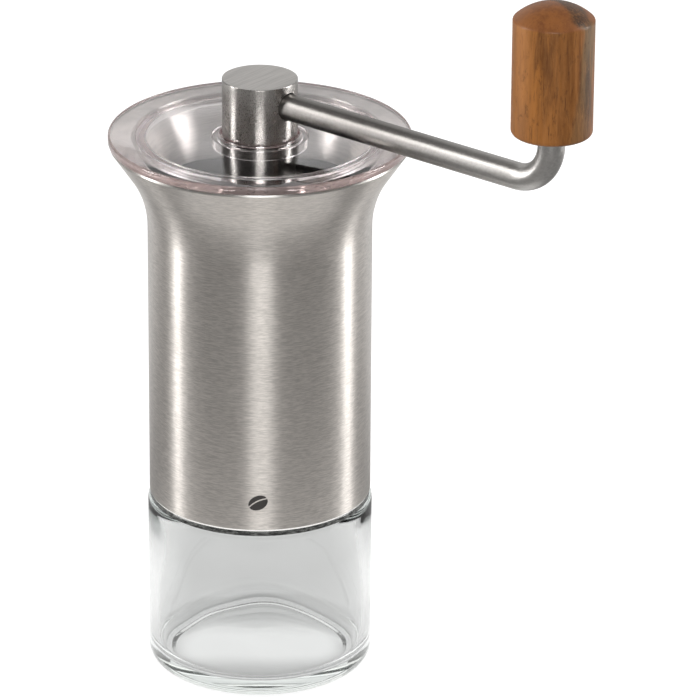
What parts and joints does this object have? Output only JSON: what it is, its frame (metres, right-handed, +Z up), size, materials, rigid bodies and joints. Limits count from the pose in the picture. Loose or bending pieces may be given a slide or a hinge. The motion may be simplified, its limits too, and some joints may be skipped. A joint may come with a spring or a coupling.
{
  "type": "hand crank coffee grinder",
  "caption": "Manual coffee grinder: glass jar, flared brushed steel body, clear lid, and a bent steel crank with a turned wooden knob.",
  "frame": {"origin": "centre of the jar's foot, on the surface that the grinder stands on", "axes": "+Z up the grinder's axis; +X towards the crank's knob as stored; +Y completes the right-handed frame"},
  "size_m": [0.1678, 0.0914, 0.2396],
  "materials": {
    "jar_glass": "clear, polished",
    "seal_rubber": "soft matt",
    "shell_steel": "brushed round the axis",
    "funnel_steel": "satin",
    "core_plastic": "fine matt",
    "bridge_plastic": "fine matt",
    "bush_bronze": "sintered bronze",
    "screw_steel": "zinc plated",
    "burr_ceramic": "fine ground",
    "clamp_steel": "stamped",
    "spring_steel": "bright wire",
    "nut_plastic": "fine matt",
    "shaft_steel": "turned",
    "lid_plastic": "clear, polished",
    "hub_steel": "turned and brushed",
    "rod_steel": "satin",
    "socket_plastic": "fine matt",
    "knob_wood": "satin varnish",
    "bush_plastic": "moulded"
  },
  "bodies": {
    "jar": {"glass_jar": "jar_glass"},
    "seal": {"jar_seal": "seal_rubber"},
    "mill": {"outer_shell": "shell_steel", "hopper_funnel": "funnel_steel", "hopper_core": "core_plastic", "shaft_bridge": "bridge_plastic", "bridge_bush": "bush_bronze", "bridge_screws": "screw_steel", "grinder_housing": "core_plastic", "lower_bush": "bush_bronze", "outer_burr": "burr_ceramic", "burr_clamp_ring": "clamp_steel", "clamp_screws": "screw_steel"},
    "spindle": {"drive_shaft": "shaft_steel", "shaft_circlip": "spring_steel", "thrust_washer": "clamp_steel"},
    "burr": {"inner_burr": "burr_ceramic", "detent_plate": "clamp_steel", "burr_spring": "spring_steel"},
    "adjuster": {"adjusting_nut": "nut_plastic"},
    "lid": {"lid": "lid_plastic"},
    "crank": {"crank_hub": "hub_steel", "crank_rod": "rod_steel", "drive_socket": "socket_plastic", "hub_set_screw": "screw_steel", "knob_clip": "spring_steel"},
    "knob": {"knob": "knob_wood", "knob_bush": "bush_plastic"}
  },
  "joints": [
    {"name": "jar_lift", "type": "slide", "parent": "jar", "child": "seal", "axis": [0, 0, 1], "range_m": [0, 0.0111]},
    {"name": "jar_turn", "type": "hinge", "parent": "seal", "child": "mill", "pos_m": [0, 0, 0.0575], "axis": [0, 0, 1], "range_deg": [0, 792]},
    {"name": "crank_turn", "type": "hinge", "parent": "mill", "child": "spindle", "pos_m": [0, 0, 0.145], "axis": [0, 0, 1], "continuous": true},
    {"name": "burr_shift", "type": "slide", "parent": "spindle", "child": "burr", "axis": [0, 0, -1], "range_m": [0, 0.00076], "deforming": ["burr_spring"]},
    {"name": "grind_adjust", "type": "hinge", "parent": "burr", "child": "adjuster", "pos_m": [0, 0, 0.066], "axis": [0, 0, -1], "range_deg": [0, 270]},
    {"name": "lid_lift", "type": "slide", "parent": "mill", "child": "lid", "axis": [0, 0, 1], "range_m": [0, 0.04]},
    {"name": "crank_lift", "type": "slide", "parent": "spindle", "child": "crank", "axis": [0, 0, 1], "range_m": [0, 0.04]},
    {"name": "knob_spin", "type": "hinge", "parent": "crank", "child": "knob", "pos_m": [0.1103, 0, 0.215], "axis": [0, 0, 1], "continuous": true}
  ],
  "couplings": [
    {"joint": "jar_lift", "follows": "jar_turn", "m_per_rad": 0.00079577},
    {"joint": "burr_shift", "follows": "grind_adjust", "m_per_rad": 0.00015915},
    {"joint": "crank_lift", "follows": "lid_lift", "ratio": 1}
  ]
}
